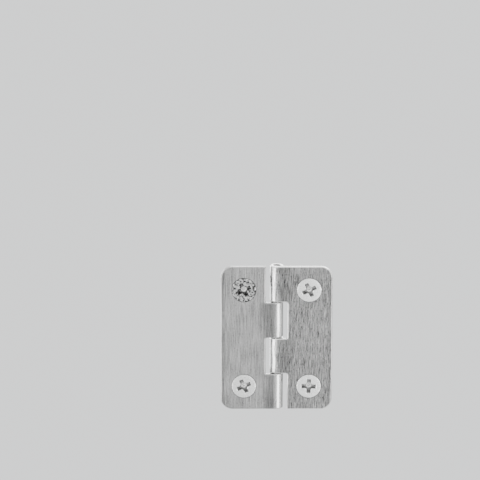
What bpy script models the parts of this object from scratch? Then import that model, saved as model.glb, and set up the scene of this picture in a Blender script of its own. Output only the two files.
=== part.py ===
"""Surface-mounted butt hinge, 40 mm tall and 30 mm wide when open flat, with its four countersunk screws.

The origin is the middle of the left leaf's mounting face, level with the middle of its two screw holes.
The pin stands along Z. The leaves lie open along X: front faces to -Y, mounting faces to +Y.
Each leaf is blanked flat from sheet, then its two tabs run straight on over the front of the pin and roll round
behind it, so the barrel is flush with the leaves in front. Both leaves are the same pressing: turned half
round about Y, the tabs of one fall into the notches of the other.
"""

import math

import bmesh
import bpy
from mathutils import Matrix, Vector

MM = 0.001

# Leaves
HEIGHT = 40.0 * MM
OPEN_WIDTH = 30.0 * MM
SHEET = 0.8 * MM
CORNER_RADIUS = 3.2 * MM
NOTCH_FROM_AXIS = 2.9 * MM
NOTCH_CORNER_RADIUS = 0.4 * MM
KNUCKLES = 4
KNUCKLE_GAP = 0.2 * MM
HOLE_FROM_AXIS = 8.75 * MM
HOLE_SPACING = 27.0 * MM
COUNTERSINK_RADIUS = 3.35 * MM

# Barrel: the sheet rolls round the pin. Its angles grow from +X, over the front of the pin, to its far side
BARREL_RADIUS = 1.8 * MM
ROLL_START = math.radians(90.0)
ROLL_END = math.radians(385.0)

# Pin
PIN_RADIUS = 0.95 * MM
PIN_LENGTH = 39.4 * MM
PIN_CHAMFER = 0.2 * MM

# Screws
SCREW_LENGTH = 12.0 * MM
HEAD_RADIUS = 3.25 * MM
HEAD_RIM = 0.15 * MM
HEAD_EDGE = 0.06 * MM
NECK_FLARE = 0.25 * MM
HEAD_PROUD = 0.1 * MM
SHANK_RADIUS = 1.15 * MM
THREAD_RADIUS = 1.75 * MM
THREAD_PITCH = 1.35 * MM
THREAD_FADE = 0.8 * MM
TIP_LENGTH = 2.8 * MM
RECESS_HALF_SPAN = 1.95 * MM
RECESS_HALF_WIDTH = 0.55 * MM
RECESS_DEPTH = 1.2 * MM
RECESS_CORE_RADIUS = 1.1 * MM
RECESS_CORE_TIP = 0.3 * MM
RECESS_CORE_DEPTH = 1.6 * MM
RECESS_SPAN_TAPER = 0.5
RECESS_WIDTH_TAPER = 0.06
CUTTER_EXCESS = 0.3 * MM

# One groove and one ridge of the thread, as shares of the pitch and whether the point is on the crest
THREAD_PROFILE = ((0.0, False), (0.5, False), (0.7, True), (0.8, True))

# Screw name: its leaf, its side along the leaf's own Z, and its cross's turn, anticlockwise from the front
SCREWS = {
    "screw_left_upper": ("left_leaf", -1, math.radians(27.0)),
    "screw_left_lower": ("left_leaf", 1, math.radians(25.0)),
    "screw_right_upper": ("right_leaf", 1, math.radians(25.0)),
    "screw_right_lower": ("right_leaf", -1, math.radians(-2.0)),
}

# Smoothness of the faceted shapes
CORNER_STEPS = 8
NOTCH_STEPS = 3
ROLL_STEPS = 36
HOLE_STEPS = 40
HEAD_STEPS = 32
THREAD_STEPS = 16
SHARP_ANGLE = math.radians(35.0)
MERGE = 0.001 * MM


ROLL_RADIUS = BARREL_RADIUS - SHEET / 2
ROLL_LENGTH = ROLL_RADIUS * (ROLL_END - ROLL_START)

# The pin's axis, seen from the middle of the left leaf's mounting face
PIN_PLACE = Vector((HOLE_FROM_AXIS, BARREL_RADIUS - SHEET, 0))


def arc(centre_x, centre_z, radius, start_deg, end_deg, steps):
    """Points of an arc in the XZ plane, both ends included."""
    angles = [
        math.radians(start_deg + (end_deg - start_deg) * i / steps)
        for i in range(steps + 1)
    ]
    return [
        (centre_x + radius * math.cos(a), centre_z + radius * math.sin(a))
        for a in angles
    ]


def knuckle_edges():
    """The heights that part the knuckles, from the top down: the top edge, each gap's middle, the bottom."""
    return [HEIGHT / 2 - HEIGHT * i / KNUCKLES for i in range(KNUCKLES + 1)]


def blank_outline():
    """The flat blank's outline in X and Z, anticlockwise from the foot of its outer edge.
    Its tabs are the first and third knuckles from the top."""
    outer = OPEN_WIDTH / 2
    top = HEIGHT / 2
    corner = CORNER_RADIUS
    notch = NOTCH_CORNER_RADIUS
    levels = knuckle_edges()
    half_gap = KNUCKLE_GAP / 2
    points = arc(outer - corner, -top + corner, corner, -90, 0, CORNER_STEPS)
    points += arc(outer - corner, top - corner, corner, 0, 90, CORNER_STEPS)
    for tab in (0, 2):
        high = levels[tab] - (half_gap if tab else 0.0)
        low = levels[tab + 1] + half_gap
        if tab:
            points += arc(NOTCH_FROM_AXIS - notch, high + notch, notch, 0, -90, NOTCH_STEPS)
        points += [(-ROLL_LENGTH, high), (-ROLL_LENGTH, low)]
        points += arc(NOTCH_FROM_AXIS - notch, low - notch, notch, 90, 0, NOTCH_STEPS)
    points.append((NOTCH_FROM_AXIS, -top))
    return points


def add_loop(bm, points, depth):
    """Vertices and closed edges through points of the XZ plane, at a depth behind the front face."""
    verts = [bm.verts.new((x, depth, z)) for x, z in points]
    edges = [
        bm.edges.new((a, b)) for a, b in zip(verts, verts[1:] + verts[:1], strict=True)
    ]
    return verts, edges


def wall(bm, first, second):
    """Faces between two loops of the same number of vertices."""
    for i in range(len(first)):
        bm.faces.new((first[i - 1], first[i], second[i], second[i - 1]))


def flat_blank():
    """The leaf before it is rolled: X across, Z up, and Y the depth behind the front face."""
    bm = bmesh.new()
    outline = blank_outline()
    holes = []
    for side in (-1, 1):
        centre_z = side * HOLE_SPACING / 2
        for depth in (0.0, SHEET):
            radius = COUNTERSINK_RADIUS - depth
            ring = arc(HOLE_FROM_AXIS, centre_z, radius, 0, 360, HOLE_STEPS)[:-1]
            holes.append((depth, add_loop(bm, ring, depth)))
    front = add_loop(bm, outline, 0.0)
    back = add_loop(bm, outline, SHEET)
    wall(bm, front[0], back[0])
    for depth, rim in ((0.0, front), (SHEET, back)):
        edges = rim[1] + [e for d, hole in holes if d == depth for e in hole[1]]
        bmesh.ops.triangle_fill(bm, use_beauty=True, use_dissolve=True, edges=edges)
    for i in (0, 2):
        wall(bm, holes[i][1][0], holes[i + 1][1][0])
    return bm


def rolled(point):
    """Where a point of the flat blank goes when the tabs are rolled round the pin, whose axis is at X 0."""
    if point.x >= 0:
        return Vector((point.x, point.y - BARREL_RADIUS, point.z))
    angle = ROLL_START - point.x / ROLL_RADIUS
    radius = BARREL_RADIUS - point.y
    return Vector((radius * math.cos(angle), -radius * math.sin(angle), point.z))


def finish_mesh(bm, name):
    """The mesh made from bm, merged, facing out, and smooth except at its sharp edges."""
    bmesh.ops.remove_doubles(bm, verts=bm.verts[:], dist=MERGE)
    bmesh.ops.recalc_face_normals(bm, faces=bm.faces[:])
    mesh = bpy.data.meshes.new(name)
    bm.to_mesh(mesh)
    bm.free()
    mesh.shade_smooth()
    mesh.set_sharp_from_angle(angle=SHARP_ANGLE)
    return mesh


def leaf_mesh():
    """One pressed leaf, reaching from the pin to +X."""
    bm = flat_blank()
    for i in range(ROLL_STEPS):
        bmesh.ops.bisect_plane(
            bm,
            geom=bm.verts[:] + bm.edges[:] + bm.faces[:],
            dist=MERGE,
            plane_co=(-ROLL_LENGTH * i / ROLL_STEPS, 0, 0),
            plane_no=(1, 0, 0),
        )
    for vert in bm.verts:
        vert.co = rolled(vert.co)
    return finish_mesh(bm, "leaf")


def turned(bm, profile, steps):
    """Rings of a turned surface about Z, one for each (radius, height) of the profile, joined by walls."""
    rings = [
        [
            bm.verts.new((radius * math.cos(a), radius * math.sin(a), height))
            for a in (2 * math.pi * j / steps for j in range(steps))
        ]
        for radius, height in profile
    ]
    for first, second in zip(rings, rings[1:], strict=False):
        wall(bm, first, second)
    return rings


def pin_mesh():
    """The plain pin along Z, with chamfered ends."""
    half = PIN_LENGTH / 2
    narrow = PIN_RADIUS - PIN_CHAMFER
    bm = bmesh.new()
    rings = turned(
        bm,
        [
            (narrow, -half),
            (PIN_RADIUS, -half + PIN_CHAMFER),
            (PIN_RADIUS, half - PIN_CHAMFER),
            (narrow, half),
        ],
        HEAD_STEPS,
    )
    bm.faces.new(rings[0])
    bm.faces.new(rings[-1])
    return finish_mesh(bm, "pin")


def thread_point(row, step, start, end):
    """A point of the threaded shank, whose rows follow the right-hand helix. Depth runs down from the head's
    top. Rows past either end gather on the shank's first ring and on the tip."""
    turn, place = divmod(row, len(THREAD_PROFILE))
    share, on_crest = THREAD_PROFILE[place]
    depth = start + THREAD_PITCH * (turn + share + step / THREAD_STEPS)
    depth = min(max(depth, start), end)
    radius = SHANK_RADIUS
    if on_crest:
        fade = min((depth - start) / THREAD_FADE, 1.0)
        radius += (THREAD_RADIUS - SHANK_RADIUS) * fade
    radius *= min((end - depth) / TIP_LENGTH, 1.0)
    angle = -2 * math.pi * step / THREAD_STEPS
    return Vector((radius * math.cos(angle), radius * math.sin(angle), -depth))


def add_thread(bm, start, end):
    """The threaded shank and its point. The faces past the last step of a turn join on to the next turn."""
    rows_per_turn = len(THREAD_PROFILE)
    last = rows_per_turn * math.ceil((end - start) / THREAD_PITCH)
    verts = {
        (row, step): bm.verts.new(thread_point(row, step, start, end))
        for row in range(-rows_per_turn, last + rows_per_turn + 1)
        for step in range(THREAD_STEPS)
    }

    def corner(row, step):
        over, step = divmod(step, THREAD_STEPS)
        return verts[row + over * rows_per_turn, step]

    for row in range(-rows_per_turn, last):
        for step in range(THREAD_STEPS):
            bm.faces.new(
                (
                    corner(row, step),
                    corner(row, step + 1),
                    corner(row + 1, step + 1),
                    corner(row + 1, step),
                )
            )
    bmesh.ops.remove_doubles(bm, verts=bm.verts[:], dist=MERGE)
    loose = [v for v in bm.verts if not v.link_faces]
    bmesh.ops.delete(bm, geom=loose, context="VERTS")


def recess_cutters():
    """Closed meshes that cut the cross recess: two tapered blades and the cone in their middle."""
    cutters = []
    for quarter in (0, 1):
        bm = bmesh.new()
        bmesh.ops.create_cube(bm, size=2.0)
        for vert in bm.verts:
            depth = -CUTTER_EXCESS if vert.co.z > 0 else RECESS_DEPTH
            half_span = RECESS_HALF_SPAN - RECESS_SPAN_TAPER * depth
            half_width = RECESS_HALF_WIDTH - RECESS_WIDTH_TAPER * depth
            vert.co = Vector((vert.co.x * half_span, vert.co.y * half_width, -depth))
        bmesh.ops.rotate(
            bm, verts=bm.verts[:], matrix=Matrix.Rotation(quarter * math.pi / 2, 3, "Z")
        )
        cutters.append(finish_mesh(bm, "recess_blade"))
    bm = bmesh.new()
    rings = turned(
        bm,
        [(RECESS_CORE_TIP, -RECESS_CORE_DEPTH), (RECESS_CORE_RADIUS, CUTTER_EXCESS)],
        THREAD_STEPS,
    )
    bm.faces.new(rings[0])
    bm.faces.new(rings[1])
    cutters.append(finish_mesh(bm, "recess_core"))
    return cutters


def cut(mesh, cutters):
    """The mesh with each cutter's shape taken out of it, as a new mesh."""
    body = bpy.data.objects.new("body", mesh)
    helpers = [body]
    for cutter in cutters:
        helper = bpy.data.objects.new("cutter", cutter)
        helpers.append(helper)
        modifier = body.modifiers.new("cut", "BOOLEAN")
        modifier.operation = "DIFFERENCE"
        modifier.object = helper
    for helper in helpers:
        bpy.context.scene.collection.objects.link(helper)
    bpy.context.view_layer.update()
    graph = bpy.context.evaluated_depsgraph_get()
    result = bpy.data.meshes.new_from_object(body.evaluated_get(graph))
    for helper in helpers:
        bpy.data.objects.remove(helper)
    return result


def screw_mesh():
    """The countersunk wood screw, pointing down from its head's top face at Z 0."""
    bm = bmesh.new()
    neck = HEAD_RIM + HEAD_RADIUS - SHANK_RADIUS
    add_thread(bm, neck, SCREW_LENGTH)
    shank_ring = [e for e in bm.edges if e.is_boundary]
    head = turned(
        bm,
        [
            (HEAD_RADIUS - HEAD_EDGE, 0.0),
            (HEAD_RADIUS, -HEAD_EDGE),
            (HEAD_RADIUS, -HEAD_RIM),
            (SHANK_RADIUS + NECK_FLARE, NECK_FLARE - neck),
        ],
        HEAD_STEPS,
    )
    bm.faces.new(head[0])
    cone_ring = [e for e in bm.edges if e.is_boundary and e not in shank_ring]
    bmesh.ops.bridge_loops(bm, edges=shank_ring + cone_ring)
    plain = finish_mesh(bm, "screw")
    mesh = cut(plain, recess_cutters())
    mesh.shade_smooth()
    mesh.set_sharp_from_angle(angle=SHARP_ANGLE)
    return mesh


def metal(name, colour, roughness):
    """A bare metal's Principled BSDF."""
    material = bpy.data.materials.new(name)
    material.use_nodes = True
    shader = material.node_tree.nodes["Principled BSDF"]
    shader.inputs["Base Color"].default_value = (*colour, 1.0)
    shader.inputs["Metallic"].default_value = 1.0
    shader.inputs["Roughness"].default_value = roughness
    return material


def add_part(name, mesh, material, place, turn=None, leaf=None):
    """One named piece of the hinge, placed in the row frame, or in its leaf's own frame where it has one."""
    part = bpy.data.objects.new(name, mesh)
    bpy.context.scene.collection.objects.link(part)
    if not mesh.materials:
        mesh.materials.append(material)
    part.location = place
    if turn is not None:
        part.rotation_euler = turn.to_euler()
    part.parent = leaf
    return part


def main():
    for old in list(bpy.data.objects):
        bpy.data.objects.remove(old)

    leaf_steel = metal("brushed_steel", (0.52, 0.52, 0.51), 0.34)
    screw_steel = metal("plated_steel", (0.68, 0.68, 0.67), 0.25)
    pin_steel = metal("pin_steel", (0.45, 0.45, 0.44), 0.3)

    pressing = leaf_mesh()
    half_round = Matrix.Rotation(math.pi, 3, "Y")
    leaves = {
        "right_leaf": add_part("right_leaf", pressing, leaf_steel, PIN_PLACE),
        "left_leaf": add_part("left_leaf", pressing, leaf_steel, PIN_PLACE, half_round),
    }
    add_part("hinge_pin", pin_mesh(), pin_steel, PIN_PLACE)

    screw = screw_mesh()
    face_front = Matrix.Rotation(math.pi / 2, 3, "X")
    for name, (leaf, side, turn) in SCREWS.items():
        place = Vector((HOLE_FROM_AXIS, -BARREL_RADIUS - HEAD_PROUD, side * HOLE_SPACING / 2))
        about_screw = face_front @ Matrix.Rotation(turn, 3, "Z")
        add_part(name, screw, screw_steel, place, about_screw, leaves[leaf])


main()
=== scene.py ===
"""Looks of the 40 by 30 mm surface-mounted butt hinge: finely rolled and rounded leaves, threaded screws with
cross recesses, and brushed and plated steel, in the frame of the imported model. Sizes are in metres, except
where a comment says millimetres."""

import math

import bmesh
import bpy
from mathutils import Matrix, Vector


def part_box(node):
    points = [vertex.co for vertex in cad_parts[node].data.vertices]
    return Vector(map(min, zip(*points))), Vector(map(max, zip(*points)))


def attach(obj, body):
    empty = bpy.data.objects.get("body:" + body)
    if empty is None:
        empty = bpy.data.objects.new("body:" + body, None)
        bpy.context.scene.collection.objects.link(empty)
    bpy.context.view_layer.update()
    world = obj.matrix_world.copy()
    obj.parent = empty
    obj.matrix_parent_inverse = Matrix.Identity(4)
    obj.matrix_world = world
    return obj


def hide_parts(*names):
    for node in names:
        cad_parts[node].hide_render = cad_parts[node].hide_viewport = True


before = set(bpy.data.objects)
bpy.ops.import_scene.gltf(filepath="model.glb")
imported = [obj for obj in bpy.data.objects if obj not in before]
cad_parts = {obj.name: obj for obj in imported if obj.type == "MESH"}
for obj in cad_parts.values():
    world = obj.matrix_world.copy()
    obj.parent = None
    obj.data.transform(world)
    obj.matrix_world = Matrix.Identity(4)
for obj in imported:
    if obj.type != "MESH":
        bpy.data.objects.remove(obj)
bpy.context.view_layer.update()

MM = 0.001

# Sizes read from the frame
PIN_LOW, PIN_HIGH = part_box("hinge_pin")
LEAF_LOW, LEAF_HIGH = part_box("right_leaf")
SCREW_LOW, SCREW_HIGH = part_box("screw_right_upper")
PIN_PLACE = (PIN_LOW + PIN_HIGH) / 2
PIN_RADIUS = (PIN_HIGH.x - PIN_LOW.x) / 2
PIN_LENGTH = PIN_HIGH.z - PIN_LOW.z
HEIGHT = LEAF_HIGH.z - LEAF_LOW.z
LEAF_REACH = LEAF_HIGH.x - PIN_PLACE.x
BARREL_RADIUS = (LEAF_HIGH.y - LEAF_LOW.y) / 2
HEAD_RADIUS = (SCREW_HIGH.x - SCREW_LOW.x) / 2
SCREW_LENGTH = SCREW_HIGH.y - SCREW_LOW.y
HOLE_FROM_AXIS = (SCREW_LOW.x + SCREW_HIGH.x) / 2 - PIN_PLACE.x
HOLE_HEIGHT = (SCREW_LOW.z + SCREW_HIGH.z) / 2
SHEET = -LEAF_LOW.y

# Leaf: the same pressing as in the frame, with its edges rounded by the punch. The sheet rolls round the pin,
# at angles that grow from +X, over the front of the pin, to its far side
ROLL_START = math.radians(90.0)
ROLL_END = math.radians(385.0)
ROLL_RADIUS = BARREL_RADIUS - SHEET / 2
ROLL_LENGTH = ROLL_RADIUS * (ROLL_END - ROLL_START)
NOTCH_FROM_AXIS = 2.9 * MM
CORNER_RADIUS = 3.2 * MM
NOTCH_CORNER_RADIUS = 0.4 * MM
KNUCKLES = 4
KNUCKLE_GAP = 0.2 * MM
COUNTERSINK_RADIUS = 3.35 * MM
FRONT_ROUND = 0.3 * MM
BACK_ROUND = 0.06 * MM
LIP_ROUND = 0.1 * MM
FLAT_BORDER = 0.2 * MM
GRAIN_MAP = "grain"

# Pin: its cut ends have a rounded edge round a low dome, which has rings at these shares of its radius
PIN_EDGE_ROUND = 0.22 * MM
PIN_DOME = 0.05 * MM
PIN_DOME_RINGS = (0.25, 0.5, 0.75)

# Screw
HEAD_RIM = 0.15 * MM
HEAD_ROUND = 0.12 * MM
HEAD_DOME = 0.05 * MM
SHANK_RADIUS = 1.15 * MM
NECK_FLARE = 0.25 * MM
NECK_DEPTH = HEAD_RIM + HEAD_RADIUS - SHANK_RADIUS
THREAD_HEIGHT = 0.6 * MM
THREAD_PITCH = 1.35 * MM
THREAD_FADE = 0.8 * MM
TIP_LENGTH = 2.8 * MM
RECESS_HALF_SPAN = 2.0 * MM
RECESS_HALF_WIDTH = 0.56 * MM
RECESS_DEPTH = 1.25 * MM
RECESS_CORE_RADIUS = 1.05 * MM
RECESS_CORE_DEPTH = 1.75 * MM
RECESS_END_SLOPE = 0.42
RECESS_SIDE_SLOPE = 0.09
RECESS_EDGE_ROUND = 0.09 * MM

# The thread's section over one pitch: share of the pitch, and share of the thread's height
THREAD_PROFILE = (
    (0.0, 0.0), (0.42, 0.0), (0.52, 0.08), (0.60, 0.45), (0.68, 0.88),
    (0.73, 1.0), (0.79, 1.0), (0.84, 0.85), (0.91, 0.4), (0.97, 0.07),
)

# Screws: CAD node, body, turn of the cross anticlockwise from the front, share of the plating worn off
SCREWS = (
    ("screw_left_upper", "fixed_side", math.radians(27.0), 1.0),
    ("screw_left_lower", "fixed_side", math.radians(25.0), 0.22),
    ("screw_right_upper", "moving_side", math.radians(25.0), 0.0),
    ("screw_right_lower", "moving_side", math.radians(-2.0), 0.05),
)

# Smoothness
CORNER_STEPS = 20
NOTCH_STEPS = 8
ROUND_STEPS = 4
ROLL_STEPS = 84
HOLE_STEPS = 120
PIN_STEPS = 64
THREAD_STEPS = 48
MERGE = 0.0002 * MM
SHARP_ANGLE = math.radians(50.0)

# Grid over the recess: its half width, its step, and its extra lines on each side of a wall's top and foot,
# which are closer together in the depth of the wall. Rings join it to the rim at these shares of the way
FIELD_HALF_WIDTH = 2.2 * MM
FIELD_STEP = 0.1 * MM
FIELD_WALL_LINES = 3
FIELD_WALL_DEPTH = 0.18 * MM
FIELD_RINGS = (0.35, 0.7)

# Looks of the leaves. tone is the mean of the base colour. streaks is how strongly the grain shows, and run
# is how long its lines are. shade is painted shade that darkens the tabs, up to shade_reach millimetres from
# the pin's axis.
# Of the last two, one darkens the sheet next to its outer edge, and the other brightens the rounded edges,
# partly as wear from rubbing and partly as a painted highlight
RIGHT_LOOK = {
    "tone": 0.193,
    "streaks": 1.55,
    "run": 1.8,
    "shade_reach": 6.0,
    "shade": 0.28,
    "edge_darkening": 0.2,
    "rub_and_painted_highlight": 0.42,
}
LEFT_LOOK = {
    "tone": 0.255,
    "streaks": 0.78,
    "run": 4.0,
    "shade_reach": 4.5,
    "shade": 0.45,
    "edge_darkening": 0.25,
    "rub_and_painted_highlight": 0.16,
}

# How far the left leaf's grain is moved along the noise, in millimetres, so that the leaves' grains differ
LEFT_GRAIN_SHIFT = 140.0

# Grain of both leaves. A noise's scale is per millimetre of the flat blank, its crispness is how strong its
# smallest parts are, and a contrast is a share of the tone. The bumps are strengths and depths
NOISE_RANGE = (0.3, 0.7)
FLECK_RANGE = (0.35, 0.7)
FINE_SCALE = (8.0, 2.0, 0.9)
BROAD_SCALE = (4.6, 1.0, 0.4)
FLECK_SCALE = (4.0, 2.0, 2.0)
CLOUD_SCALE = (0.16, 0.3, 0.11)
BROAD_CRISPNESS = 0.6
FLECK_CRISPNESS = 0.7
CLOUD_DETAIL = 2.0
FINE_CONTRAST = 0.3
BROAD_CONTRAST = 0.34
FLECK_CONTRAST = 0.18
CLOUD_CONTRAST = 0.08
BACK_CONTRAST = 0.5
ROLL_CONTRAST = 0.5
FINE_ROUGHNESS = 0.05
FLECK_ROUGHNESS = (0.28, 0.36)
BROAD_BUMP = (0.15, 0.02 * MM)
FINE_BUMP = (0.22, 0.012 * MM)
FLECK_BUMP = (0.15, 0.02 * MM)
ANISOTROPY = 0.3
LEAF_TINT = (1.0, 0.995, 0.985)

# Places on the flat blank, in millimetres, over which a look comes in or goes out: behind the front face
# for the back, from the outer edge for the edge, and from the pin's axis for the rest, below 0 round the roll
BACK_IN = (0.2, 0.7)
EDGE_IN = (1.5, 0.7)
ROLL_OUT = (-2.5, -0.5)
SHADE_IN = (-0.3, 1.3)
BURNISH_AND_HIGHLIGHT_IN = (-3.4, -1.6)
BURNISH_AND_HIGHLIGHT_OUT = (-0.6, 1.0)
SIDE_IN = (-3.4, -2.4)
SIDE_OUT = (-1.6, -0.9)

# The tabs' painted shade, which stands for the shade next to the barrel, comes in at their edges, between
# these shares of a tab's length from the middle of a notch. It is full up to a share of its reach, and
# wanders by so many millimetres with the cloud and broad streaks
TAB_LENGTH_MM = HEIGHT / KNUCKLES / MM
TAB_EDGE = (0.42, 0.58)
SHADE_FULL = 0.5
CLOUD_WANDER = 0.8
BROAD_WANDER = 0.5

# The gain of the painted highlight where the roll starts, and the loss of roughness from burnishing there,
# and what is left of the tone under the painted shade on the roll's side and in a hole, whose painted shade
# goes out over a range of the attribute that marks rounded edges and holes
PAINTED_HIGHLIGHT_GAIN = 1.4
BURNISH_SMOOTHING = 0.08
SIDE_PAINTED_SHADE_TONE = 0.45
HOLE_PAINTED_SHADE_TONE = 0.35
HOLE_OUT = (-1.0, -0.2)

# Plating of the screws, with its noises' scales per metre. A pair of numbers named NEW_WORN is for new and
# for worn-off plating
PIT_SCALE = 2200.0
BLOTCH_SCALE = 1100.0
BLOTCH_CRISPNESS = 0.6
NEW_WORN_TONE = (0.86, 0.56)
NEW_WORN_PATCH_LOW = (0.5, 0.38)
NEW_WORN_PATCH_HIGH = (0.64, 0.6)
NEW_WORN_PATCH_DARKENS = (0.1, 0.4)
NEW_WORN_BUMP = (0.3, 0.5)
BLOTCH_BUMP_DEPTH = 0.05 * MM
PATCH_ROUGHNESS = 0.1
PIT_RANGE = (0.4, 0.68)
PIT_DARKENS = 0.22
PIT_ROUGHNESS = (0.24, 0.36)
PIT_BUMP = (0.35, 0.03 * MM)
PLATING_TINT = (1.0, 1.0, 0.99)

# The heights between which a screw's head gives way to its dull shank, the depths in millimetres over which
# its recess gets painted shade and more roughness, and the distances from its axis between which the painted
# highlight in the middle of the recess ends
HEAD_IN = (-2.4 * MM, -0.6 * MM)
SHANK_TONE = 0.4
RECESS_IN = (0.05, 0.4)
RECESS_PAINTED_SHADE_TONE = 0.36
RECESS_ROUGHNESS = 0.35
MIDDLE_OUT = (0.45 * MM, 0.95 * MM)
MIDDLE_PAINTED_HIGHLIGHT_TONE = 0.95

# Wire of the pin, with its noises' scales per metre
WIRE_LINE_SCALE = (5200.0, 5200.0, 160.0)
WIRE_SPOT_SCALE = 2400.0
WIRE_TONE = (0.42, 0.54)
WIRE_SPOT_RANGE = (0.4, 0.7)
WIRE_SPOT_DARKENS = 0.1
WIRE_ROUGHNESS = (0.28, 0.45)
WIRE_BUMP = (0.4, 0.02 * MM)
WIRE_TINT = (1.0, 0.99, 0.97)

# View: how far the camera looks down, the width it sees at the hinge, and the hinge's place in that width
CAMERA_ELEVATION = math.radians(15.0)
LENS_MM = 200.0
SENSOR_MM = 36.0
VIEW_WIDTH = 129.3 * MM
HINGE_RIGHT_OF_MIDDLE = 9.8 * MM
HINGE_BELOW_MIDDLE = 26.0 * MM
CLIP_START = 10.0 * MM
CLIP_END = 20.0

# Floor
FLOOR_DROP = 300.0 * MM
FLOOR_WIDTH = 12.0
FLOOR_COLOUR = (0.59, 0.594, 0.597, 1.0)
FLOOR_ROUGHNESS = 0.9

# Sky: its brightness at the horizon and overhead, and the heights between which it changes
SKY_HORIZON = 1.18
SKY_OVERHEAD = 2.7
SKY_EDGE_LOW = 0.35
SKY_EDGE_HIGH = 0.8
SKY_COLOUR = (0.99, 1.0, 1.0, 1.0)

# Softboxes: name, azimuth and elevation in degrees, distance, width and height in metres, power in watts.
# The azimuth is 0 in front of the hinge, on -Y, and 90 on +X
SOFTBOXES = (
    ("front_left", -46.0, -8.0, 0.5, 0.46, 0.34, 0.74),
    ("front_right", 32.0, -8.0, 0.5, 0.3, 0.34, 0.43),
    ("rim_left", -140.0, -2.0, 0.5, 0.3, 0.34, 0.7),
    ("back", 165.0, 12.0, 0.6, 0.45, 0.36, 0.8),
)

# How far a softbox's light fans out
LIGHT_SPREAD = math.radians(70.0)


# ---------------------------------------------------------------- leaf

def arc(centre_x, centre_z, radius, start_deg, end_deg, steps):
    """Points of an arc in the XZ plane, both ends included."""
    angles = [math.radians(start_deg + (end_deg - start_deg) * i / steps) for i in range(steps + 1)]
    return [(centre_x + radius * math.cos(a), centre_z + radius * math.sin(a)) for a in angles]


def rounding(turn):
    """Angles from 0 to turn, for the steps of a rounded edge."""
    return [turn * i / ROUND_STEPS for i in range(ROUND_STEPS + 1)]


def blank_outline(inset):
    """The flat blank's outline in X and Z, drawn in by inset, anticlockwise from the foot of its outer edge.
    Its tabs are the first and third knuckles from the top."""
    top = HEIGHT / 2
    corner = CORNER_RADIUS
    notch = NOTCH_CORNER_RADIUS
    half_gap = KNUCKLE_GAP / 2
    outer = LEAF_REACH - corner
    points = arc(outer, -top + corner, corner - inset, -90, 0, CORNER_STEPS)
    points += arc(outer, top - corner, corner - inset, 0, 90, CORNER_STEPS)
    for tab in (0, 2):
        high = top - HEIGHT * tab / KNUCKLES - (half_gap if tab else 0.0)
        low = top - HEIGHT * (tab + 1) / KNUCKLES + half_gap
        if tab:
            points += arc(NOTCH_FROM_AXIS - notch, high + notch, notch + inset, 0, -90, NOTCH_STEPS)
        points += [(inset - ROLL_LENGTH, high - inset), (inset - ROLL_LENGTH, low + inset)]
        points += arc(NOTCH_FROM_AXIS - notch, low - notch, notch + inset, 90, 0, NOTCH_STEPS)
    points.append((NOTCH_FROM_AXIS + inset, -top + inset))
    return points


def add_loop(bm, points, depth):
    """Vertices and closed edges through points of the XZ plane, at a depth behind the front face."""
    verts = [bm.verts.new((x, depth, z)) for x, z in points]
    edges = [bm.edges.new(pair) for pair in zip(verts, verts[1:] + verts[:1], strict=True)]
    return verts, edges


def wall(bm, first, second):
    """Faces between two loops of the same number of vertices."""
    for i in range(len(first)):
        bm.faces.new((first[i - 1], first[i], second[i], second[i - 1]))


def join_loops(bm, loops):
    """Walls from each of the loops that add_loop made to the next."""
    for near, far in zip(loops, loops[1:], strict=False):
        wall(bm, near[0], far[0])


def rounded_profile(front, back):
    """(inset, depth) steps of a sheared edge, whose front and back corners are rounded."""
    quarter = rounding(math.pi / 2)
    steps = [(front + FLAT_BORDER, 0.0)]
    steps += [(front * (1 - math.sin(a)), front * (1 - math.cos(a))) for a in quarter]
    steps += [(back * (1 - math.cos(a)), SHEET - back * (1 - math.sin(a))) for a in quarter]
    steps.append((back + FLAT_BORDER, SHEET))
    return steps


def hole_profile():
    """(radius, depth) steps of the countersink: a rounded lip, the cone, and a small break at the back."""
    lip = LIP_ROUND
    tangent = lip * math.tan(math.pi / 8)
    steps = [(COUNTERSINK_RADIUS + tangent + FLAT_BORDER, 0.0)]
    steps += [
        (COUNTERSINK_RADIUS + tangent - lip * math.sin(a), lip * (1 - math.cos(a)))
        for a in rounding(math.pi / 4)
    ]
    last = COUNTERSINK_RADIUS - SHEET
    steps += [(last + BACK_ROUND, SHEET - BACK_ROUND), (last + BACK_ROUND, SHEET)]
    steps.append((last + BACK_ROUND + FLAT_BORDER, SHEET))
    return steps


def flat_blank():
    """The leaf before it is rolled: X across, Z up, and Y the depth behind the front face."""
    bm = bmesh.new()
    profile = rounded_profile(FRONT_ROUND, BACK_ROUND)
    rims = [add_loop(bm, blank_outline(inset), depth) for inset, depth in profile]
    join_loops(bm, rims)
    front = list(rims[0][1])
    back = list(rims[-1][1])
    for side in (-1, 1):
        rings = [
            add_loop(bm, arc(HOLE_FROM_AXIS, side * HOLE_HEIGHT, radius, 0, 360, HOLE_STEPS)[:-1], depth)
            for radius, depth in hole_profile()
        ]
        join_loops(bm, rings)
        front += rings[0][1]
        back += rings[-1][1]
    for edges in (front, back):
        bmesh.ops.triangle_fill(bm, use_beauty=True, use_dissolve=False, edges=edges)
    return bm


def rolled(point):
    """Where a point of the flat blank goes when the tabs are rolled round the pin, whose axis is at X 0."""
    if point.x >= 0:
        return Vector((point.x, point.y - BARREL_RADIUS, point.z))
    angle = ROLL_START - point.x / ROLL_RADIUS
    radius = BARREL_RADIUS - point.y
    return Vector((radius * math.cos(angle), -radius * math.sin(angle), point.z))


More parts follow.
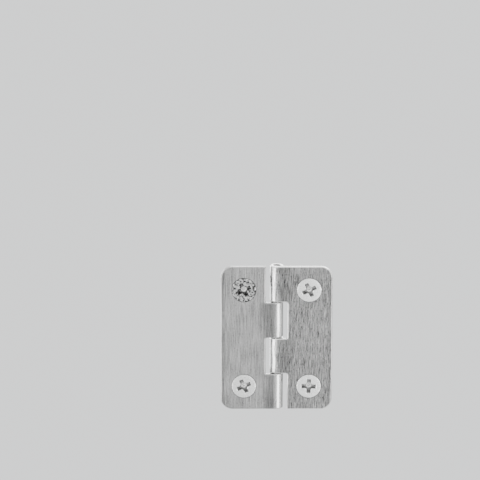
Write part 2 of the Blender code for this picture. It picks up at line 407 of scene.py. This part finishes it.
def cut_for_roll(bm):
    """Cuts across the tabs, so that they bend smoothly."""
    for i in range(ROLL_STEPS):
        bmesh.ops.bisect_plane(
            bm,
            geom=bm.verts[:] + bm.edges[:] + bm.faces[:],
            dist=MERGE,
            plane_co=(-ROLL_LENGTH * i / ROLL_STEPS, 0, 0),
            plane_no=(1, 0, 0),
        )


def add_grain_map(bm):
    """A UV map whose U runs across the grain, slanted so that the sheared edges have area in it too."""
    uv = bm.loops.layers.uv.new(GRAIN_MAP)
    for face in bm.faces:
        for loop in face.loops:
            place = loop.vert.co
            loop[uv].uv = ((place.x + place.y) / HEIGHT, (place.z + place.y) / HEIGHT)


def leaf_mesh(name, shift):
    """One pressed leaf, reaching from the pin to +X. Its blank attribute is each point's place on the flat
    blank in millimetres, moved by shift, so that the brushed grain follows the sheet round the roll. Another
    attribute is 1 on the rounded edges, which are brightened by rubbing wear and a painted highlight, and -1
    in the countersinks, which get painted shade."""
    bm = flat_blank()
    cut_for_roll(bm)
    add_grain_map(bm)
    blank = bm.verts.layers.float_vector.new("blank")
    rubbed_sheen_and_hole_shade = bm.verts.layers.float.new("rubbed_sheen_and_hole_shade")
    for vert in bm.verts:
        vert[blank] = vert.co / MM + shift
        if MERGE < vert.co.y < SHEET - MERGE:
            from_hole = math.hypot(vert.co.x - HOLE_FROM_AXIS, abs(vert.co.z) - HOLE_HEIGHT)
            # 1 on rounded edges, for rubbing wear and a painted highlight; -1 in the countersinks, for
            # painted shade
            vert[rubbed_sheen_and_hole_shade] = 1.0 if from_hole > COUNTERSINK_RADIUS + FLAT_BORDER else -1.0
        vert.co = rolled(vert.co)
    return finish_mesh(bm, name)


# ---------------------------------------------------------------- turned and threaded pieces

def finish_mesh(bm, name):
    """The mesh made from bm, merged, facing out, and smooth except at its sharp edges."""
    bmesh.ops.remove_doubles(bm, verts=bm.verts[:], dist=MERGE)
    bmesh.ops.recalc_face_normals(bm, faces=bm.faces[:])
    mesh = bpy.data.meshes.new(name)
    bm.to_mesh(mesh)
    bm.free()
    mesh.shade_smooth()
    mesh.set_sharp_from_angle(angle=SHARP_ANGLE)
    return mesh


def add_ring(bm, radius, height, angles):
    """Vertices round Z at the angles."""
    return [bm.verts.new((radius * math.cos(a), radius * math.sin(a), height)) for a in angles]


def join_rings(bm, rings):
    """Walls from each ring of vertices to the next."""
    for first, second in zip(rings, rings[1:], strict=False):
        wall(bm, first, second)


def pin_mesh():
    """The pin: a drawn wire whose cut ends are dressed to a low dome with a rounded edge."""
    half = PIN_LENGTH / 2
    flat = PIN_RADIUS - PIN_EDGE_ROUND
    drop = PIN_EDGE_ROUND - PIN_DOME
    end = [(flat * share, half - PIN_DOME * share**2) for share in PIN_DOME_RINGS]
    end += [
        (flat + PIN_EDGE_ROUND * math.sin(a), half - PIN_DOME - drop * (1 - math.cos(a)))
        for a in rounding(math.pi / 2)
    ]
    profile = end + [(radius, -height) for radius, height in reversed(end)]
    angles = [2 * math.pi * j / PIN_STEPS for j in range(PIN_STEPS)]
    bm = bmesh.new()
    rings = [add_ring(bm, radius, height, angles) for radius, height in profile]
    join_rings(bm, rings)
    bm.faces.new(rings[0])
    bm.faces.new(rings[-1])
    return finish_mesh(bm, "pin_wire")


def recess_depth(x, y):
    """How deep the cross recess is at a point of the head, with its rim rounded over."""
    arms = []
    for along, across in ((abs(x), abs(y)), (abs(y), abs(x))):
        end = (RECESS_HALF_SPAN - along) / RECESS_END_SLOPE
        side = (RECESS_HALF_WIDTH - across) / RECESS_SIDE_SLOPE
        arms.append(min(end, side, RECESS_DEPTH))
    core = RECESS_CORE_DEPTH * (1 - (x * x + y * y) / RECESS_CORE_RADIUS**2)
    depth = max(*arms, core)
    return (depth + math.sqrt(depth**2 + RECESS_EDGE_ROUND**2)) / 2


def head_height(x, y):
    """The head's top surface: a shallow dome with the recess sunk in it."""
    dome = HEAD_DOME * (x * x + y * y) / HEAD_RADIUS**2
    return -dome - recess_depth(x, y)


def rounded_mm(length):
    """A length in millimetres, rounded to a tenth of a micron."""
    return round(length / MM, 4)


def field_lines():
    """Grid lines over the recess, closer together where its walls are steep."""
    half_count = round(FIELD_HALF_WIDTH / FIELD_STEP)
    lines = {rounded_mm(i * FIELD_STEP) for i in range(half_count + 1)}
    wall_step = RECESS_SIDE_SLOPE * FIELD_WALL_DEPTH
    for edge in (RECESS_HALF_WIDTH, RECESS_HALF_WIDTH - RECESS_DEPTH * RECESS_SIDE_SLOPE):
        for step in range(-FIELD_WALL_LINES, FIELD_WALL_LINES + 1):
            lines.add(rounded_mm(edge + step * wall_step))
    half = sorted(line for line in lines if line >= 0)
    return [-line * MM for line in reversed(half) if line > 0] + [line * MM for line in half]


def head_top(bm):
    """The head's top face as a grid, and the loop of vertices round that grid, anticlockwise."""
    lines = field_lines()
    last = len(lines) - 1
    grid = [[bm.verts.new((x, y, head_height(x, y))) for y in lines] for x in lines]
    for i in range(last):
        for j in range(last):
            bm.faces.new((grid[i][j], grid[i + 1][j], grid[i + 1][j + 1], grid[i][j + 1]))
    rim = [grid[i][0] for i in range(last)]
    rim += [grid[last][j] for j in range(last)]
    rim += [grid[i][last] for i in range(last, 0, -1)]
    rim += [grid[0][j] for j in range(last, 0, -1)]
    return rim


def rim_profile():
    """(radius, height) steps over the head's rounded rim and down the countersunk cone to the neck."""
    flat = HEAD_RADIUS - HEAD_ROUND
    steps = [
        (flat + HEAD_ROUND * math.sin(a), -HEAD_DOME - (HEAD_RIM - HEAD_DOME) * (1 - math.cos(a)))
        for a in rounding(math.pi / 2)
    ]
    steps.append((SHANK_RADIUS + NECK_FLARE, NECK_FLARE - NECK_DEPTH))
    return steps


def head_side(bm, field_rim):
    """Rings from the grid's edge out to the head's rim, over it, and down to the neck."""
    flat = HEAD_RADIUS - HEAD_ROUND
    angles = [math.atan2(vert.co.y, vert.co.x) for vert in field_rim]
    rings = [field_rim]
    for share in FIELD_RINGS:
        ring = []
        for vert, angle in zip(field_rim, angles, strict=True):
            x = vert.co.x + (flat * math.cos(angle) - vert.co.x) * share
            y = vert.co.y + (flat * math.sin(angle) - vert.co.y) * share
            ring.append(bm.verts.new((x, y, head_height(x, y))))
        rings.append(ring)
    rings += [add_ring(bm, radius, height, angles) for radius, height in rim_profile()]
    join_rings(bm, rings)


def thread_point(row, step, start, end):
    """A point of the threaded shank, whose rows follow the right-hand helix. Depth runs down from the head's
    top. Rows past either end gather on the shank's first ring and on the tip."""
    turn, place = divmod(row, len(THREAD_PROFILE))
    share, rise = THREAD_PROFILE[place]
    depth = start + THREAD_PITCH * (turn + share + step / THREAD_STEPS)
    depth = min(max(depth, start), end)
    fade = min((depth - start) / THREAD_FADE, 1.0)
    radius = SHANK_RADIUS + THREAD_HEIGHT * rise * fade
    radius *= min((end - depth) / TIP_LENGTH, 1.0)
    angle = -2 * math.pi * step / THREAD_STEPS
    return Vector((radius * math.cos(angle), radius * math.sin(angle), -depth))


def add_thread(bm, start, end):
    """The threaded shank and its point. The faces past the last step of a turn join on to the next turn."""
    rows_per_turn = len(THREAD_PROFILE)
    last = rows_per_turn * math.ceil((end - start) / THREAD_PITCH)
    verts = {
        (row, step): bm.verts.new(thread_point(row, step, start, end))
        for row in range(-rows_per_turn, last + rows_per_turn + 1)
        for step in range(THREAD_STEPS)
    }

    def corner(row, step):
        over, step = divmod(step, THREAD_STEPS)
        return verts[row + over * rows_per_turn, step]

    for row in range(-rows_per_turn, last):
        for step in range(THREAD_STEPS):
            bm.faces.new(
                (corner(row, step), corner(row, step + 1), corner(row + 1, step + 1), corner(row + 1, step))
            )
    bmesh.ops.remove_doubles(bm, verts=bm.verts[:], dist=MERGE)
    loose = [vert for vert in bm.verts if not vert.link_faces]
    bmesh.ops.delete(bm, geom=loose, context="VERTS")


def screw_mesh():
    """The countersunk wood screw, pointing down from its head's top face at Z 0. Its sunk attribute is how
    deep each point of the recess is, in millimetres."""
    bm = bmesh.new()
    add_thread(bm, NECK_DEPTH, SCREW_LENGTH)
    shank_ring = [edge for edge in bm.edges if edge.is_boundary]
    head_side(bm, head_top(bm))
    cone_ring = [edge for edge in bm.edges if edge.is_boundary and edge not in shank_ring]
    bmesh.ops.bridge_loops(bm, edges=shank_ring + cone_ring)
    sunk = bm.verts.layers.float.new("sunk")
    for vert in bm.verts:
        near_top = -vert.co.z < HEAD_DOME + RECESS_CORE_DEPTH
        if near_top and math.hypot(vert.co.x, vert.co.y) < FIELD_HALF_WIDTH:
            vert[sunk] = recess_depth(vert.co.x, vert.co.y) / MM
    return finish_mesh(bm, "woodscrew")


# ---------------------------------------------------------------- materials

class Nodes:
    """Short names for building one material's nodes."""

    def __init__(self, name):
        self.material = bpy.data.materials.new(name)
        self.material.use_nodes = True
        self.tree = self.material.node_tree
        self.shader = self.tree.nodes["Principled BSDF"]
        self.shader.inputs["Metallic"].default_value = 1.0

    def add(self, kind, **settings):
        """A new node with its settings."""
        node = self.tree.nodes.new(kind)
        for key, value in settings.items():
            setattr(node, key, value)
        return node

    def link(self, output, node, name):
        """Links an output to a node's named input."""
        self.tree.links.new(output, node.inputs[name])

    def split(self, vector):
        """The outputs X, Y and Z of a vector."""
        node = self.add("ShaderNodeSeparateXYZ")
        self.link(vector, node, "Vector")
        return node.outputs

    def noise(self, vector, scale, detail=3.0, roughness=0.55):
        """Noise over vector stretched by scale."""
        mapping = self.add("ShaderNodeMapping")
        mapping.inputs["Scale"].default_value = scale
        self.link(vector, mapping, "Vector")
        node = self.add("ShaderNodeTexNoise")
        node.inputs["Scale"].default_value = 1.0
        node.inputs["Detail"].default_value = detail
        node.inputs["Roughness"].default_value = roughness
        self.link(mapping.outputs["Vector"], node, "Vector")
        return node.outputs["Fac"]

    def ramp(self, value, source, target=(0.0, 1.0)):
        """Value taken from the source range to the target range, smoothly and clamped."""
        node = self.add("ShaderNodeMapRange", interpolation_type="SMOOTHSTEP")
        node.inputs["From Min"].default_value = source[0]
        node.inputs["From Max"].default_value = source[1]
        node.inputs["To Min"].default_value = target[0]
        node.inputs["To Max"].default_value = target[1]
        self.link(value, node, "Value")
        return node.outputs["Result"]

    def band(self, value, rise, fall):
        """1 in the band that value enters over the rise range and leaves over the fall range, and else 0."""
        return self.times(self.ramp(value, fall, (1.0, 0.0)), self.ramp(value, rise))

    def math(self, operation, *values):
        """A math node's result. Each value is a number or an output."""
        node = self.add("ShaderNodeMath", operation=operation)
        for index, value in enumerate(values):
            if isinstance(value, (int, float)):
                node.inputs[index].default_value = value
            else:
                self.tree.links.new(value, node.inputs[index])
        return node.outputs["Value"]

    def plus(self, total, *values):
        """The sum of the values."""
        for value in values:
            total = self.math("ADD", total, value)
        return total

    def minus(self, first, second):
        """First less second."""
        return self.math("SUBTRACT", first, second)

    def times(self, product, *values):
        """The product of the values."""
        for value in values:
            product = self.math("MULTIPLY", product, value)
        return product

    def grey(self, value, tint):
        """The colour tint times value."""
        node = self.add("ShaderNodeVectorMath", operation="SCALE")
        node.inputs[0].default_value = tint
        self.link(value, node, "Scale")
        return node.outputs["Vector"]

    def bump(self, height, strength, distance, below=None):
        """The normal bumped by height, on top of the normal below."""
        node = self.add("ShaderNodeBump")
        node.inputs["Strength"].default_value = strength
        node.inputs["Distance"].default_value = distance
        self.link(height, node, "Height")
        if below is not None:
            self.link(below, node, "Normal")
        return node.outputs["Normal"]


def both_ways(reach):
    """The range from -reach to reach."""
    return (-reach, reach)


def along_grain(scale, run):
    """A noise's scale, with its lines along the pin made run times as long."""
    return (scale[0], scale[1], scale[2] / run)


def grain_noises(nodes, place, run):
    """Noises over the flat blank: fine and broad streaks along the pin, flecks, and a slow cloud."""
    return {
        "fine": nodes.noise(place, along_grain(FINE_SCALE, run)),
        "broad": nodes.noise(place, along_grain(BROAD_SCALE, run), roughness=BROAD_CRISPNESS),
        "flecks": nodes.noise(place, FLECK_SCALE, roughness=FLECK_CRISPNESS),
        "cloud": nodes.noise(place, CLOUD_SCALE, detail=CLOUD_DETAIL),
    }


def grain_contrast(nodes, grain, blank, streaks):
    """How far the grain takes the tone from its mean, as a share of it: less on the back and on the roll."""
    return nodes.times(
        nodes.plus(
            nodes.ramp(grain["fine"], NOISE_RANGE, both_ways(FINE_CONTRAST * streaks)),
            nodes.ramp(grain["broad"], NOISE_RANGE, both_ways(BROAD_CONTRAST * streaks)),
            nodes.ramp(grain["flecks"], FLECK_RANGE, both_ways(FLECK_CONTRAST * streaks)),
            nodes.ramp(grain["cloud"], NOISE_RANGE, both_ways(CLOUD_CONTRAST)),
        ),
        nodes.ramp(blank["Y"], BACK_IN, (1.0, BACK_CONTRAST)),
        nodes.ramp(blank["X"], ROLL_OUT, (ROLL_CONTRAST, 1.0)),
    )


def tab_shade(nodes, grain, blank, reach, shade):
    """How much a tab is darkened by painted shade: by shade near the roll, and out to reach, with a wandering
    end.
    """
    # painted shade on the tabs next to the barrel
    from_notch = nodes.math("PINGPONG", nodes.minus(blank["Z"], TAB_LENGTH_MM / 2), TAB_LENGTH_MM)
    on_tab = nodes.ramp(from_notch, [TAB_LENGTH_MM * share for share in TAB_EDGE])
    out = nodes.plus(
        blank["X"],
        nodes.ramp(grain["cloud"], NOISE_RANGE, both_ways(CLOUD_WANDER)),
        nodes.ramp(grain["broad"], NOISE_RANGE, both_ways(BROAD_WANDER)),
    )
    fading = nodes.ramp(out, (reach * SHADE_FULL, reach), (shade, 0.0))
    return nodes.times(fading, on_tab, nodes.ramp(blank["X"], SHADE_IN))


def with_edges(nodes, sheet, blank, edge_darkening, rub_and_painted_highlight):
    """The sheet's tone with its rounded edges brighter from rubbing wear and a painted highlight, painted
    shade in its holes, and darker next to its outer edge.
    """
    rubbed_sheen_and_hole_shade = nodes.add("ShaderNodeAttribute", attribute_name="rubbed_sheen_and_hole_shade").outputs["Fac"]
    outer_edge = [LEAF_REACH / MM - inset for inset in EDGE_IN]
    return nodes.times(
        # rounded edges brightened by rubbing wear and a painted highlight, painted shade in the holes
        nodes.plus(sheet, nodes.times(nodes.ramp(rubbed_sheen_and_hole_shade, (0.0, 1.0)), rub_and_painted_highlight)),
        nodes.ramp(rubbed_sheen_and_hole_shade, HOLE_OUT, (HOLE_PAINTED_SHADE_TONE, 1.0)),
        nodes.minus(1.0, nodes.ramp(blank["X"], outer_edge, (0.0, edge_darkening))),
    )


def link_grain_surface(nodes, grain, burnish_and_painted_highlight, streaks):
    """Gives the sheet its roughness, its bumps, and gloss that is stretched across the grain."""
    rough = nodes.plus(
        nodes.ramp(grain["fine"], NOISE_RANGE, both_ways(FINE_ROUGHNESS)),
        nodes.ramp(grain["flecks"], NOISE_RANGE, FLECK_ROUGHNESS),
    )
    rough = nodes.minus(rough, nodes.times(burnish_and_painted_highlight, BURNISH_SMOOTHING))
    nodes.link(rough, nodes.shader, "Roughness")
    normal = None
    for height, (strength, depth) in (("broad", BROAD_BUMP), ("fine", FINE_BUMP), ("flecks", FLECK_BUMP)):
        normal = nodes.bump(grain[height], strength * streaks, depth, normal)
    nodes.link(normal, nodes.shader, "Normal")
    nodes.shader.inputs["Anisotropic"].default_value = ANISOTROPY
    across = nodes.add("ShaderNodeTangent", direction_type="UV_MAP", uv_map=GRAIN_MAP)
    nodes.link(across.outputs["Tangent"], nodes.shader, "Tangent")


def leaf_steel(name, tone, streaks, run, shade_reach, shade, edge_darkening, rub_and_painted_highlight):
    """Brushed sheet steel with one of the leaves' looks, and its grain along the pin. Each tab is burnished,
    so smoother and with a painted highlight, where it starts to roll, and has painted shade in a band down
    the barrel's side."""
    nodes = Nodes(name)
    place = nodes.add("ShaderNodeAttribute", attribute_name="blank").outputs["Vector"]
    blank = nodes.split(place)
    grain = grain_noises(nodes, place, run)
    # painted highlight, and smoothness from burnishing, where the roll starts
    burnish_and_painted_highlight = nodes.band(blank["X"], BURNISH_AND_HIGHLIGHT_IN, BURNISH_AND_HIGHLIGHT_OUT)
    # painted shade in a band down the barrel's side
    side = nodes.band(blank["X"], SIDE_IN, SIDE_OUT)
    sheet = nodes.times(
        nodes.plus(grain_contrast(nodes, grain, blank, streaks), 1.0),
        tone,
        nodes.minus(1.0, tab_shade(nodes, grain, blank, shade_reach, shade)),
        nodes.plus(nodes.times(burnish_and_painted_highlight, PAINTED_HIGHLIGHT_GAIN), 1.0),
        nodes.ramp(side, (0.0, 1.0), (1.0, SIDE_PAINTED_SHADE_TONE)),
    )
    value = with_edges(nodes, sheet, blank, edge_darkening, rub_and_painted_highlight)
    nodes.link(nodes.grey(value, LEAF_TINT), nodes.shader, "Base Color")
    link_grain_surface(nodes, grain, burnish_and_painted_highlight, streaks)
    return nodes.material


def aged(new_worn, worn):
    """The number for plating that is worn off by a share, between those for new and for worn-off plating."""
    new, old = new_worn
    return new + (old - new) * worn


def screw_steel(name, worn):
    """Bright plating on the screws, pitted all over, and with dark blotches on the head where it has worn.
    The shank is dull, and the recess is rougher and has painted shade down its arms. The round bottom of its
    middle has a painted highlight."""
    nodes = Nodes(name)
    place = nodes.add("ShaderNodeTexCoord").outputs["Object"]
    sunk = nodes.add("ShaderNodeAttribute", attribute_name="sunk").outputs["Fac"]
    screw = nodes.split(place)
    pits = nodes.noise(place, [PIT_SCALE] * 3)
    blotches = nodes.noise(place, [BLOTCH_SCALE] * 3, roughness=BLOTCH_CRISPNESS)
    on_head = nodes.ramp(screw["Z"], HEAD_IN)
    squares = [nodes.math("POWER", screw[axis], 2.0) for axis in "XY"]
    across = nodes.math("SQRT", nodes.plus(*squares))
    middle = nodes.ramp(across, MIDDLE_OUT, (1.0, 0.0))
    patch_range = (aged(NEW_WORN_PATCH_LOW, worn), aged(NEW_WORN_PATCH_HIGH, worn))
    patch = nodes.times(nodes.ramp(blotches, patch_range), on_head)

    value = nodes.minus(aged(NEW_WORN_TONE, worn), nodes.times(patch, aged(NEW_WORN_PATCH_DARKENS, worn)))
    value = nodes.minus(value, nodes.ramp(pits, PIT_RANGE, (0.0, PIT_DARKENS)))
    # painted shade down the recess
    value = nodes.times(value, nodes.ramp(sunk, RECESS_IN, (1.0, RECESS_PAINTED_SHADE_TONE)))
    # painted highlight in the middle of the recess
    value = nodes.math("MAXIMUM", value, nodes.times(middle, MIDDLE_PAINTED_HIGHLIGHT_TONE))
    value = nodes.times(value, nodes.ramp(on_head, (0.0, 1.0), (SHANK_TONE, 1.0)))
    nodes.link(nodes.grey(value, PLATING_TINT), nodes.shader, "Base Color")

    dull = nodes.times(nodes.ramp(sunk, RECESS_IN, (0.0, RECESS_ROUGHNESS)), nodes.minus(1.0, middle))
    rough = nodes.plus(
        nodes.ramp(pits, NOISE_RANGE, PIT_ROUGHNESS),
        nodes.times(patch, PATCH_ROUGHNESS),
        dull,
    )
    nodes.link(rough, nodes.shader, "Roughness")
    normal = nodes.bump(blotches, aged(NEW_WORN_BUMP, worn), BLOTCH_BUMP_DEPTH)
    nodes.link(nodes.bump(pits, *PIT_BUMP, normal), nodes.shader, "Normal")
    return nodes.material


def pin_steel():
    """Drawn wire: fine lines along it, and duller spots."""
    nodes = Nodes("pin_drawn_steel")
    place = nodes.add("ShaderNodeTexCoord").outputs["Object"]
    lines = nodes.noise(place, WIRE_LINE_SCALE)
    spots = nodes.noise(place, [WIRE_SPOT_SCALE] * 3)
    value = nodes.plus(
        nodes.ramp(lines, NOISE_RANGE, WIRE_TONE),
        nodes.ramp(spots, WIRE_SPOT_RANGE, (0.0, -WIRE_SPOT_DARKENS)),
    )
    nodes.link(nodes.grey(value, WIRE_TINT), nodes.shader, "Base Color")
    nodes.link(nodes.ramp(spots, NOISE_RANGE, WIRE_ROUGHNESS), nodes.shader, "Roughness")
    nodes.link(nodes.bump(spots, *WIRE_BUMP), nodes.shader, "Normal")
    return nodes.material


# ---------------------------------------------------------------- pieces

def add_piece(name, mesh, material, body, node, matrix):
    """A finely made piece that stands for one CAD node and moves with that node's body."""
    piece = bpy.data.objects.new(name, mesh)
    bpy.context.scene.collection.objects.link(piece)
    mesh.materials.append(material)
    piece.matrix_world = matrix
    normals = piece.modifiers.new("even_normals", "WEIGHTED_NORMAL")
    normals.keep_sharp = True
    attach(piece, body)
    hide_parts(node)
    return piece


def add_leaf(side, body, turn, grain_shift, look):
    """One leaf on the pin, turned about Y from the place where it reaches to +X."""
    name = f"rolled_leaf_{side}"
    mesh = leaf_mesh(name, Vector((0.0, 0.0, grain_shift)))
    material = leaf_steel(f"brushed_{side}", **look)
    matrix = Matrix.Translation(PIN_PLACE) @ Matrix.Rotation(turn, 4, "Y")
    add_piece(name, mesh, material, body, f"{side}_leaf", matrix)


def add_pin():
    """The pin's wire."""
    matrix = Matrix.Translation(PIN_PLACE)
    add_piece("pin_wire", pin_mesh(), pin_steel(), "fixed_side", "hinge_pin", matrix)


def add_screw(node, body, turn, worn):
    """One screw in the place of its CAD node, with its cross turned as there."""
    low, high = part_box(node)
    head = Vector(((low.x + high.x) / 2, low.y, (low.z + high.z) / 2))
    face_front = Matrix.Rotation(math.pi / 2, 4, "X")
    matrix = Matrix.Translation(head) @ face_front @ Matrix.Rotation(turn, 4, "Z")
    material = screw_steel(f"plating_{node}", worn)
    add_piece(f"wood{node}", screw_mesh(), material, body, node, matrix)


def add_hinge():
    """Both leaves, the pin and the four screws, each in the place of its CAD node."""
    add_leaf("right", "moving_side", 0.0, 0.0, RIGHT_LOOK)
    add_leaf("left", "fixed_side", math.pi, LEFT_GRAIN_SHIFT, LEFT_LOOK)
    add_pin()
    for screw in SCREWS:
        add_screw(*screw)


# ---------------------------------------------------------------- studio

def add_floor():
    """A plain pale floor well below the hinge, which is held in the air as its door would hold it."""
    bpy.ops.mesh.primitive_plane_add(size=FLOOR_WIDTH, location=(0, 0, LEAF_LOW.z - FLOOR_DROP))
    floor = bpy.context.object
    floor.name = "floor"
    material = bpy.data.materials.new("pale_floor")
    material.use_nodes = True
    shader = material.node_tree.nodes["Principled BSDF"]
    shader.inputs["Base Color"].default_value = FLOOR_COLOUR
    shader.inputs["Roughness"].default_value = FLOOR_ROUGHNESS
    floor.data.materials.append(material)


def aim(light, azimuth, elevation, distance):
    """Puts a light at a distance from the hinge, and turns it to the hinge."""
    a = math.radians(azimuth)
    e = math.radians(elevation)
    towards = Vector((math.sin(a) * math.cos(e), -math.cos(a) * math.cos(e), math.sin(e)))
    light.location = PIN_PLACE + towards * distance
    light.rotation_mode = "QUATERNION"
    light.rotation_quaternion = towards.to_track_quat("Z", "Y")


def add_softbox(name, azimuth, elevation, distance, width, height, power):
    """An area light aimed at the hinge."""
    data = bpy.data.lights.new(name, "AREA")
    data.shape = "RECTANGLE"
    data.size = width
    data.size_y = height
    data.energy = power
    data.spread = LIGHT_SPREAD
    light = bpy.data.objects.new(name, data)
    bpy.context.scene.collection.objects.link(light)
    aim(light, azimuth, elevation, distance)
    light.visible_camera = False


def add_lights():
    """Every softbox."""
    for softbox in SOFTBOXES:
        add_softbox(*softbox)


def add_world():
    """An even sky, as pale as the floor at the horizon, and brighter overhead to light the floor evenly."""
    world = bpy.data.worlds.new("studio")
    world.use_nodes = True
    tree = world.node_tree
    height = tree.nodes.new("ShaderNodeSeparateXYZ")
    tree.links.new(tree.nodes.new("ShaderNodeTexCoord").outputs["Generated"], height.inputs["Vector"])
    sky = tree.nodes.new("ShaderNodeMapRange")
    sky.interpolation_type = "SMOOTHSTEP"
    sky.inputs["From Min"].default_value = SKY_EDGE_LOW
    sky.inputs["From Max"].default_value = SKY_EDGE_HIGH
    sky.inputs["To Min"].default_value = SKY_HORIZON
    sky.inputs["To Max"].default_value = SKY_OVERHEAD
    tree.links.new(height.outputs["Z"], sky.inputs["Value"])
    background = tree.nodes["Background"]
    background.inputs["Color"].default_value = SKY_COLOUR
    tree.links.new(sky.outputs["Result"], background.inputs["Strength"])
    bpy.context.scene.world = world


def add_camera():
    """The camera in front of the hinge, looking down on it, with the hinge right of and below the middle."""
    data = bpy.data.cameras.new("camera")
    data.lens = LENS_MM
    data.sensor_width = SENSOR_MM
    data.clip_start = CLIP_START
    data.clip_end = CLIP_END
    camera = bpy.data.objects.new("camera", data)
    bpy.context.scene.collection.objects.link(camera)
    back = Vector((0, -math.cos(CAMERA_ELEVATION), math.sin(CAMERA_ELEVATION)))
    up = Vector((0, math.sin(CAMERA_ELEVATION), math.cos(CAMERA_ELEVATION)))
    middle = PIN_PLACE - Vector((HINGE_RIGHT_OF_MIDDLE, 0, 0)) + up * HINGE_BELOW_MIDDLE
    camera.location = middle + back * (VIEW_WIDTH * LENS_MM / SENSOR_MM)
    camera.rotation_mode = "QUATERNION"
    camera.rotation_quaternion = (-back).to_track_quat("-Z", "Y")
    bpy.context.scene.camera = camera


add_camera()
add_hinge()
add_floor()
add_world()
add_lights()
